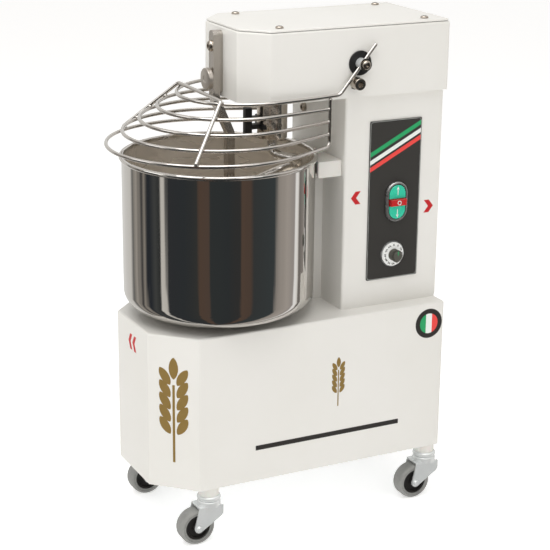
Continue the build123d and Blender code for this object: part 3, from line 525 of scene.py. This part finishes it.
bm = bmesh.new()
for side in (-1, 1):
    for number, degrees_round in enumerate((45, 52, 53, 55.5, 57.5)):
        touch = spoke_point(number, degrees_round, 1.8, 2.3)
        bead_at(bm, Vector((side * touch.x, touch.y, touch.z)), (3.4, 3.4, 2.0))
    for number in range(1, HOOPS - 1):
        tail = hoop(number, BACK)[0]
        bead_at(bm, Vector((side * tail.x, tail.y - 2.3 * MM, tail.z)), (3.0, 1.8, 3.0))
    bead_at(bm, Vector((side * SPAN * MM, low_hoop[0].y, top_of_upright + 1.5 * MM)), (2.9, 3.0, 1.8))
    bead_at(bm, at(side * SPAN, *ARM_END), (2.5, 2.5, 2.5))
    bead_at(bm, Vector((side * foot.x, foot.y, foot.z)), (2.5, 2.5, 2.5))
shade(bm, 60)
new_object("guard_weld_beads", bm, polished_wire, "guard")
print("beads placed")

# %% [markdown]
# ## The spiral tool
# The dough hook is a round bar wound cold round a mandrel: it leaves the shaft, swings out and goes
# down in a steady helix. The route is a formula, so the turns stay even.

# %% Spiral
spiral_y = (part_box("spiral_sleeve")[0].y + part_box("spiral_sleeve")[1].y) / 2
TURN = 36.0
STEPS = 15
DROP = 12.4
corner_reach = (TURN / cos(radians(22.5)) - 1) * MM
corners = [Vector((0, spiral_y, 0.540)), Vector((0, spiral_y, 0.518))]
corners.append(Vector((0.018, spiral_y - 0.0016, 0.511)))
for step in range(STEPS):
    a = radians(40 + 45 * step)
    height = (504 - DROP * step) * MM
    corners.append(Vector((corner_reach * cos(a), spiral_y + corner_reach * sin(a), height)))
route = rounded(corners, [0.010, 0.013, 0.015] + [0.024] * (STEPS - 2), 8)
made = wire("spiral_hook", route, 6.5, polished_wire, "spiral")
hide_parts("spiral_tool")
bm = bmesh.new()
bead_at(bm, route[-1], (6.5, 6.5, 6.5))
shade(bm, 60)
new_object("spiral_hook_end", bm, polished_wire, "spiral")
print("spiral points", len(route))

# %% [markdown]
# ## Clamp knob and sleeve details
# The knob that holds the breaker bar is a plain turned disc with a chamfer and a shallow dish in
# its face. A thin plate with one rounded corner is let into the fixed sleeve.

# %% Knob
low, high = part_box("clamp_knob")
knob_z = (low.z + high.z) / 2
knob_r = (high.z - low.z) / 2 / MM
profile = [(0, 9.0), (4.2, 9.0), (5.0, 9.5), (knob_r - 1.6, 9.5), (knob_r - 0.5, 9.1), (knob_r, 8.4),
           (knob_r, 3.4), (knob_r - 0.6, 2.6), (9.2, 2.4), (9.0, 1.0), (8.4, 0.4), (4, 0.4), (4, -16),
           (0, -16)]
face_y = low.y + 9.5 * MM
knob = turned("clamp_knob_turned", profile, Vector((0, face_y, knob_z)), (0, -1, 0), turned_knob,
              "clamp_knob", 72, 28)
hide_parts("clamp_knob")
print("knob radius", round(knob_r, 1))


# %% Sleeve plate
def sleeve_plate():
    """A grid rolled onto the sleeve, with one lower corner rounded."""
    low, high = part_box("spiral_sleeve")
    radius = (high.x - low.x) / 2
    bm = bmesh.new()
    bmesh.ops.create_grid(bm, x_segments=24, y_segments=12, size=0.5)
    corner = 0.22
    for vert in bm.verts:
        below = max(0.0, corner - 0.5 - vert.co.y)
        if vert.co.x > 0:
            vert.co.x *= (0.5 - corner + (corner ** 2 - below ** 2) ** 0.5) / 0.5
        turn = radians(-62 + 104 * vert.co.x)
        height = low.z + (high.z - low.z) * 0.6 + vert.co.y * 0.040
        vert.co = Vector((radius * cos(turn), spiral_y + radius * sin(turn), height))
    bmesh.ops.recalc_face_normals(bm, faces=bm.faces)
    bmesh.ops.solidify(bm, geom=bm.faces[:], thickness=-0.0006)
    bmesh.ops.recalc_face_normals(bm, faces=bm.faces)
    shade(bm, 30)
    return new_object("sleeve_cover_plate", bm, turned_sleeve, "frame")


sleeve_plate()
print("sleeve plate made")

# %% [markdown]
# ## Control panel
# The panel is a printed film on a plate. A thin white edge surrounds it, and three stripes cross its
# upper part. The stripes are cut where they meet the panel's edges, so each is a slanted strip.

# %% Film border and stripes
low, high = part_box("control_panel")
panel_x = high.x
panel_low, panel_high = low.z / MM, high.z / MM
width = (high.y - low.y) / MM
origin = Vector((panel_x, low.y, 0))
ON_SIDE = ((0, 1, 0), (0, 0, 1))
edge = 1.3
border_y = [low.y + 0.9 * MM, high.y - 0.9 * MM]
border_z = [low.z + 0.9 * MM, high.z - 0.9 * MM]
half_way = Vector((panel_x, (low.y + high.y) / 2, border_z[1]))
order = ((1, 1), (1, 0), (0, 0), (0, 1))
border = [half_way] + [Vector((panel_x, border_y[j], border_z[k])) for j, k in order]
wire("panel_border", rounded(border + [half_way], 0.004)[:-1], 0.15, ink_white, "frame", True)
stripe_rise = 0.504 * (width - 2 * edge)
for name, start, height, stuff in (("green", 509.6, 6.4, ink_green), ("white", 498.8, 6.0, ink_white),
                                   ("red", 489.0, 6.4, ink_red)):
    far = start + stripe_rise
    outline = [(edge, start), (width - edge, far), (width - edge, far + height), (edge, start + height)]
    flat("panel_stripe_" + name, outline, origin, *ON_SIDE, stuff, "frame", 0.06)
print("panel", round(width, 1), "by", round(panel_high - panel_low, 1), "mm")

# %% [markdown]
# The push-button station has a metallised rim around two long buttons with arrows, and a stop bar
# between them. The stop bar carries a plain ring, a common sign for off. The rim is an oblong
# route with a round section, as a moulded rim is.

# %% Push buttons
low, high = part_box("switch_bezel")
switch_y = (low.y + high.y) / 2
switch_z = (low.z + high.z) / 2
half_width = (high.y - low.y) / 2
half_height = (high.z - low.z) / 2
straight = half_height - half_width


def oblong(inset_mm, x):
    """Closed oblong route round the station at one depth."""
    radius = half_width - inset_mm * MM
    route = []
    for end, first in ((1, 0), (-1, pi)):
        for step in range(25):
            a = first + pi * step / 24
            route.append(Vector((x, switch_y + radius * cos(a), switch_z + end * straight + radius * sin(a))))
    return route


rim_x = high.x
wire("station_rim", oblong(2.0, rim_x - 2.2 * MM), 2.4, silver_trim, "frame", True)
wire("station_rim_skirt", oblong(0.7, rim_x - 3.6 * MM), 0.9, silver_trim, "frame", True)
button_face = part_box("start_button")[1].x
for name, centre_z, up in (("start_button", 15.5, 1), ("run_back_button", -15.5, -1)):
    shaft = [(-0.55, -5.5 * up), (0.55, -5.5 * up), (0.55, 2.5 * up), (-0.55, 2.5 * up)]
    tip = [(-2.0, 2.0 * up), (2.0, 2.0 * up), (0, 6.6 * up)]
    here = Vector((button_face, switch_y, switch_z + centre_z * MM))
    for label, outline in (("shaft", shaft), ("tip", tip)):
        flat(f"{name}_arrow_{label}", outline[::up], here, *ON_SIDE, ink_white, name, 0.15)
low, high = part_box("stop_button")
ring_centre = Vector((high.x + 0.05 * MM, switch_y, (low.z + high.z) / 2))
ring_route = [ring_centre + Vector((0, 2.6 * MM * cos(a), 2.6 * MM * sin(a)))
              for a in [2 * pi * i / 32 for i in range(32)]]
wire("stop_sign_ring", ring_route, 0.5, ink_white, "stop_button", True)
print("push buttons made")

# %% [markdown]
# The timer is a spring-wound switch. Its skirt turns with the knob and carries the minutes, so the
# numbers ride on the knob. Text becomes a mesh before it is moved, because a finished piece keeps
# its place in its mesh.

# %% Timer
low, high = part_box("timer_knob")
timer_y = (low.y + high.y) / 2
timer_z = (low.z + high.z) / 2
skirt_r = (high.z - low.z) / 2 / MM
skirt_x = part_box("timer_scale")[1].x + 0.4 * MM
centre = Vector((skirt_x, timer_y, timer_z))
profile = [(0, 0), (skirt_r - 0.3, 0), (skirt_r, 0.4), (skirt_r - 0.5, 1.8), (skirt_r - 1.2, 2.4),
           (9, 3.4), (0, 3.6)]
skirt = turned("timer_skirt", profile, centre, (1, 0, 0), dial_white, "timer_knob", 72, 40)
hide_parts("timer_knob")
finished("timer_scale", silver_trim)


def number_mesh(text, size_mm):
    """A short text as a mesh, centred on the origin."""
    font = bpy.data.curves.new("minutes_" + text, "FONT")
    font.body = text
    font.size = size_mm * MM
    font.align_x = "CENTER"
    font.align_y = "CENTER"
    font.extrude = 0.05 * MM
    font.offset = 0.1 * MM
    source = bpy.data.objects.new("minutes_" + text, font)
    mesh = bpy.data.meshes.new_from_object(source)
    bpy.data.objects.remove(source)
    return mesh


bm = bmesh.new()
for step, minutes in enumerate(range(0, 60, 5)):
    a = radians(90 - 30 * step)
    upright = Matrix(((0, 0, 1, 0), (1, 0, 0, 0), (0, 1, 0, 0), (0, 0, 0, 1)))
    where = centre + Vector((2.9 * MM, 12.6 * MM * cos(a), 12.6 * MM * sin(a)))
    turn = Matrix.Rotation(a - pi / 2, 4, "Z")
    before = len(bm.verts)
    bm.from_mesh(number_mesh(str(minutes), 5.2))
    bm.verts.ensure_lookup_table()
    bmesh.ops.transform(bm, matrix=Matrix.Translation(where) @ upright @ turn, verts=bm.verts[before:])
new_object("timer_numbers", bm, ink_black, "timer_knob")

grip_profile = [(0, 15.6), (6.0, 15.4), (6.9, 14.6), (7.9, 5.0), (8.4, 3.6), (8.4, 2.9), (0, 2.9)]
turned("timer_grip", grip_profile, centre, (1, 0, 0), knob_plastic, "timer_knob", 48, 30)
bm = bmesh.new()
for step in range(20):
    a = 2 * pi * step / 20
    out = Vector((0, cos(a), sin(a)))
    rib = Matrix.Translation(centre + out * 7.5 * MM + Vector((8.4 * MM, 0, 0))) @ Matrix.Rotation(a, 4, "X")
    lean = Matrix.Rotation(radians(6.5), 4, "Z")
    bmesh.ops.create_cube(bm, size=1, matrix=rib @ lean @ Matrix.Diagonal((10.5 * MM, 1.1 * MM, 1.3 * MM, 1)))
bmesh.ops.bevel(bm, geom=bm.edges[:], offset=0.00025, offset_type="OFFSET", affect="EDGES", segments=2,
                profile=0.5, material=-1)
shade(bm, 40)
new_object("timer_grip_ribs", bm, knob_plastic, "timer_knob")
pointer = [(-0.7, 2.0), (0.7, 2.0), (0.7, 7.2), (-0.7, 7.2)]
flat("timer_pointer", pointer, centre + Vector((15.55 * MM, 0, 0)), *ON_SIDE, ink_green, "timer_knob", 0.2)
print("timer made, skirt radius", round(skirt_r, 1))

# %% [markdown]
# ## Decals
# Cut vinyl is only a tenth of a millimetre thick, but it needs that thickness here so that it does
# not flicker against the paint. The red chevrons point along the machine. The gold ear of wheat
# is a plain ornament of this script's own.

# %% Chevrons
def chevron(tall, wide, bar):
    """An arrowhead that points to +u, round the origin."""
    half = tall / 2
    return [(-wide / 2, half), (-wide / 2 + bar, half), (wide / 2, 0), (-wide / 2 + bar, -half),
            (-wide / 2, -half), (wide / 2 - bar, 0)]


side_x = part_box("column_housing")[1].x
mark = chevron(18, 15, 8)
for name, y, z, way in (("front", 296.4, 455.5, -1), ("rear", 412.4, 431.5, 1)):
    flat("chevron_" + name, [(way * u, v) for u, v in mark], at(0, y, z) + Vector((side_x, 0, 0)), *ON_SIDE,
         vinyl_red, "frame")
small = chevron(22, 13, 7)
for step in (0, 1):
    place = at(-7 + 14 * step, 0, 268)
    flat(f"chevron_base_{step}", [(-u, v) for u, v in small], place, (1, 0, 0), (0, 0, 1), vinyl_red, "frame")
print("chevrons cut")


# %% Wheat ear ornament
def grain_outline(length, fat, turn, centre):
    """A pointed oval, leaning by an angle."""
    points = []
    for step in range(20):
        a = 2 * pi * step / 20
        u = fat * sin(a) * abs(sin(a)) ** 0.4
        v = length / 2 * cos(a)
        points.append((centre[0] + u * cos(turn) - v * sin(turn), centre[1] + u * sin(turn) + v * cos(turn)))
    return points[::-1]


def wheat_ear(name, origin, across, up, tall):
    size = tall / 100
    flat(name + "_stalk", [(-1.2 * size, -50 * size), (1.2 * size, -50 * size), (1.2 * size, 26 * size),
                           (-1.2 * size, 26 * size)], origin, across, up, vinyl_gold, "frame")
    for row in range(5):
        for side in (-1, 1):
            centre = (side * 8.5 * size, (-14 + 12 * row) * size)
            outline = grain_outline(19 * size, 4.3 * size, -side * radians(32), centre)
            label = f"{name}_grain_{row}_{'l' if side < 0 else 'r'}"
            flat(label, outline, origin, across, up, vinyl_gold, "frame")
    flat(name + "_grain_top", grain_outline(21 * size, 4.6 * size, 0, (0, 42 * size)), origin, across, up,
         vinyl_gold, "frame")


base_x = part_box("base_housing")[1].x
wheat_ear("side_ear", Vector((base_x, at(0, 261, 0).y, 0.204)), (0, 1, 0), (0, 0, 1), 70)
slant = Vector((1, 1, 0)).normalized()
wheat_ear("corner_ear", at(79, 26, 192) + Vector((0.0004, -0.0004, 0)) * 0.02, slant, (0, 0, 1), 146)
rule = [(-112, -3.4), (112, -3.4), (112, 3.4), (-112, 3.4)]
flat("side_rule", rule, Vector((base_x, at(0, 247, 0).y, 0.129)), (0, 1, 0), (0, 0, 1), vinyl_dark, "frame")
badge_at = Vector((base_x, at(0, 404, 0).y, 0.2685))
flat("badge_ring", circle(21.5), badge_at, (0, 1, 0), (0, 0, 1), vinyl_dark, "frame", 0.12)
half = 14.5
third = half / 3
bands = {"left": (-half, -third, ink_green), "middle": (-third, third, ink_white),
         "right": (third, half, ink_red)}
for name, (first, last, stuff) in bands.items():
    steps = [first + (last - first) * i / 12 for i in range(13)]
    upper = [(u, (half * half - min(u * u, half * half)) ** 0.5 + 0.01) for u in steps]
    lower = [(u, -v) for u, v in upper][::-1]
    on_ring = badge_at + Vector((0.12 * MM, 0, 0))
    flat("badge_band_" + name, upper[::-1] + lower[::-1], on_ring, *ON_SIDE, stuff, "frame", 0.08)
print("ornaments cut")

# %% [markdown]
# ## Casters
# A grey rubber tyre is pressed on a moulded hub. Both are turned profiles. The tyre's side wall has a
# raised ring, and the hub is sunk behind its rim, so both catch the light. The axle's ends are
# upset into round heads outside the fork.

# %% Wheels
for corner in ("fl", "fr", "rl", "rr"):
    body = "caster_wheel_" + corner
    low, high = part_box(body)
    middle = (low + high) / 2
    r = (high.z - low.z) / 2 / MM
    w = 10.5
    tyre = [(17.4, -w + 1.5), (18.2, -w), (19.3, -w), (19.7, -w + 0.8), (20.4, -w + 0.8), (21, -w)]
    tyre += quarter(r - 4, -w + 4, 4, -90, 6)
    tyre += quarter(r - 4, w - 4, 4, 0, 6) + [(21, w), (20.4, w - 0.8), (19.7, w - 0.8), (19.3, w), (18.2, w)]
    tyre += [(17.4, w - 1.5), (17.4, -w + 1.5)]
    made = turned("tyre_" + corner, tyre, middle, (1, 0, 0), tyre_rubber, body, 72, 30)
    hub = [(3.1, -w - 0.6), (6.4, -w - 0.6), (7, -w), (7, -w + 4), (14, -w + 4.6), (15, -w + 1.2),
           (17.4, -w + 1.2), (17.4, w - 1.2), (15, w - 1.2), (14, w - 4.6), (7, w - 4), (7, w),
           (6.4, w + 0.6), (3.1, w + 0.6), (3.1, -w - 0.6)]
    moulded = turned("hub_" + corner, hub, middle, (1, 0, 0), hub_plastic, body, 60, 30)
    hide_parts(body)
    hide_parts(body)
    for side in (-1, 1):
        nut = [(0, 2.6), (3.2, 2.5), (3.9, 1.7), (4.2, 0), (0, 0)]
        start = Vector((middle.x + side * 16.0 * MM - side * 1.7 * MM, middle.y, middle.z))
        turned(f"axle_end_{corner}_{'l' if side < 0 else 'r'}", nut, start, (side, 0, 0), zinc_plate,
               "caster_fork_" + corner, 24)
finished("caster_stems", zinc_plate)
print("casters finished")

# %% [markdown]
# ## Back of the machine
# A blank plate with four small rivets sits on the rear cover, where such a machine has its rating
# plate. It is left without words.

# %% Rating plate
rear_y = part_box("column_rear_cover")[1].y
plate = [(-30, -18), (30, -18), (30, 18), (-30, 18)]
flat("rating_plate", plate, Vector((0, rear_y, 0.500)), (-1, 0, 0), (0, 0, 1), silver_trim, "frame", 0.5)
rivets = [(x, z) for x in (-27, 27) for z in (-15, 15)]
for number, (x, z) in enumerate(rivets):
    head = [(0, 1.3), (1.2, 1.1), (1.9, 0.5), (2.0, 0.3), (0, 0.3)]
    where = Vector((x * MM, rear_y, 0.5 + z * MM))
    turned(f"plate_rivet_{number}", head, where, (0, 1, 0), zinc_plate, "frame", 20)
print("rating plate made")

# %% [markdown]
# ## Studio
# The machine stands in a white room. Polished steel shows only what stands around it, so the room
# seen in reflections is darker on the viewer's side, with a few tall bright windows. Direct view
# and diffuse light see plain white. The floor is left out of reflections, so that the bowl shows
# the room instead of an endless white ground.

# %% Camera
camera_data = bpy.data.cameras.new("camera")
camera_data.lens = 106.5
camera_data.sensor_width = 36
camera_data.clip_end = 50
camera = bpy.data.objects.new("camera", camera_data)
bpy.context.scene.collection.objects.link(camera)
azimuth, elevation, roll = radians(63.12), radians(17.77), radians(0.61)
turn = Matrix.Rotation(azimuth, 4, "Z") @ Matrix.Rotation(pi / 2 - elevation, 4, "X")
turn = turn @ Matrix.Rotation(roll, 4, "Z")
camera.matrix_world = Matrix.Translation(at(1927, -762, 1027)) @ turn
bpy.context.scene.camera = camera
print("camera at", [round(v, 3) for v in camera.matrix_world.translation])

# %% Floor
bm = bmesh.new()
bmesh.ops.create_grid(bm, x_segments=1, y_segments=1, size=12)
floor_paint = finish("matt_studio_floor", "FFFFFF", 0.9, Emission_Color=colour("FFFFFF"),
                     Emission_Strength=0.45)
mesh = bpy.data.meshes.new("studio_floor")
bm.to_mesh(mesh)
bm.free()
floor = bpy.data.objects.new("studio_floor", mesh)
floor.data.materials.append(floor_paint)
bpy.context.scene.collection.objects.link(floor)
floor.visible_glossy = False

# %% Room
world = bpy.data.worlds.new("studio_room")
bpy.context.scene.world = world
world.use_nodes = True
tree = world.node_tree
tree.nodes.clear()
direction = add(tree, "ShaderNodeTexCoord").outputs["Generated"]
parts = add(tree, "ShaderNodeSeparateXYZ", Vector=direction)
facing = atan2(-cos(azimuth), sin(azimuth))
spun = add(tree, "ShaderNodeVectorRotate", {"rotation_type": "Z_AXIS"}, Vector=direction, Angle=-facing)
spun_parts = add(tree, "ShaderNodeSeparateXYZ", Vector=spun.outputs["Vector"])
around = add(tree, "ShaderNodeMath", {"operation": "ARCTAN2"}, i0=spun_parts.outputs["Y"],
             i1=spun_parts.outputs["X"])
share = add(tree, "ShaderNodeMapRange", Value=around.outputs["Value"], From_Min=-pi, From_Max=pi,
            To_Min=0.0, To_Max=1.0)
tall_grain = add(tree, "ShaderNodeMapping", Vector=direction, Scale=(7.0, 7.0, 2.0))
uneven = add(tree, "ShaderNodeTexNoise", Vector=tall_grain.outputs["Vector"], Scale=1.0, Detail=4.0)
wobble = add(tree, "ShaderNodeMapRange", Value=uneven.outputs["Fac"], From_Min=0.0, From_Max=1.0,
             To_Min=-0.02, To_Max=0.02)
wavy = add(tree, "ShaderNodeMath", {"operation": "ADD"}, i0=share.outputs["Result"],
           i1=wobble.outputs["Result"])
walls = add(tree, "ShaderNodeValToRGB", Fac=wavy.outputs["Value"])
bands_round = [
    (-180, "E8E8E6"), (-128, "D8D6D2"), (-122, "6A6A68"), (-112, "B0AAA2"), (-104, "3A3A3C"), (-96, "9A948C"),
    (-90, "2C3036"), (-80, "484A4A"), (-70, "343636"), (-68, "D9D6D0"), (-63, "CFCCC6"), (-61, "35373A"),
    (-40, "33373A"), (-21, "3A3B3A"), (-19, "5A4A40"), (-8, "584A42"), (-6, "363A3B"), (14, "34383A"),
    (28, "383838"), (30, "5C4C42"), (40, "564840"), (43, "3C3F40"), (72, "3E4446"), (75, "9A948E"),
    (92, "B2ABA4"), (104, "A49E9A"), (107, "FFFFFF"), (112, "F4F2EE"), (115, "77726E"), (128, "A8A29C"),
    (136, "E0DEDA"), (180, "E8E8E6"),
]
ramp = walls.color_ramp
for number, (degrees_round, shade_of) in enumerate(bands_round):
    position = (degrees_round + 180) / 360
    stop = ramp.elements[number] if number < 2 else ramp.elements.new(position)
    stop.position = position
    stop.color = colour(shade_of)
height = add(tree, "ShaderNodeMapRange", Value=parts.outputs["Z"], From_Min=0.12, From_Max=0.62,
             To_Min=0.0, To_Max=1.0)
overhead = add(tree, "ShaderNodeMix", {"data_type": "RGBA"}, Factor=height.outputs["Result"])
tree.links.new(walls.outputs["Color"], overhead.inputs[6])
overhead.inputs[7].default_value = colour("EDEBE8")
rays = add(tree, "ShaderNodeLightPath")
soft = add(tree, "ShaderNodeBackground", Color=colour("FFFDFA"), Strength=0.5)
seen = add(tree, "ShaderNodeBackground", Color=colour("FFFFFF"), Strength=1.0)
mirrored = add(tree, "ShaderNodeBackground", Color=overhead.outputs[2], Strength=1.0)
inner = add(tree, "ShaderNodeMixShader", Fac=rays.outputs["Is Glossy Ray"], i1=soft.outputs[0],
            i2=mirrored.outputs[0])
whole = add(tree, "ShaderNodeMixShader", Fac=rays.outputs["Is Camera Ray"], i1=inner.outputs[0],
            i2=seen.outputs[0])
add(tree, "ShaderNodeOutputWorld", Surface=whole.outputs[0])
print("room with", len(bands_round), "bands")


# %% Lights
def softbox(name, place, aim, size, power):
    """A square area light that points at the machine."""
    data = bpy.data.lights.new(name, "AREA")
    data.shape = "SQUARE"
    data.size = size
    data.energy = power
    lamp = bpy.data.objects.new(name, data)
    bpy.context.scene.collection.objects.link(lamp)
    lamp.location = place
    lamp.rotation_euler = (Vector(aim) - Vector(place)).to_track_quat("-Z", "Y").to_euler()
    return lamp


softbox("overhead_softbox", (0.4, -0.5, 2.4), (0, 0, 0.4), 1.8, 28)
softbox("front_right_softbox", (2.2, 0.4, 1.6), (0, 0, 0.4), 1.2, 4)
softbox("front_left_softbox", (-0.6, -2.2, 1.4), (0, 0, 0.4), 1.0, 4.5)
bpy.context.scene.view_settings.view_transform = "Standard"
print("lights:", 3)
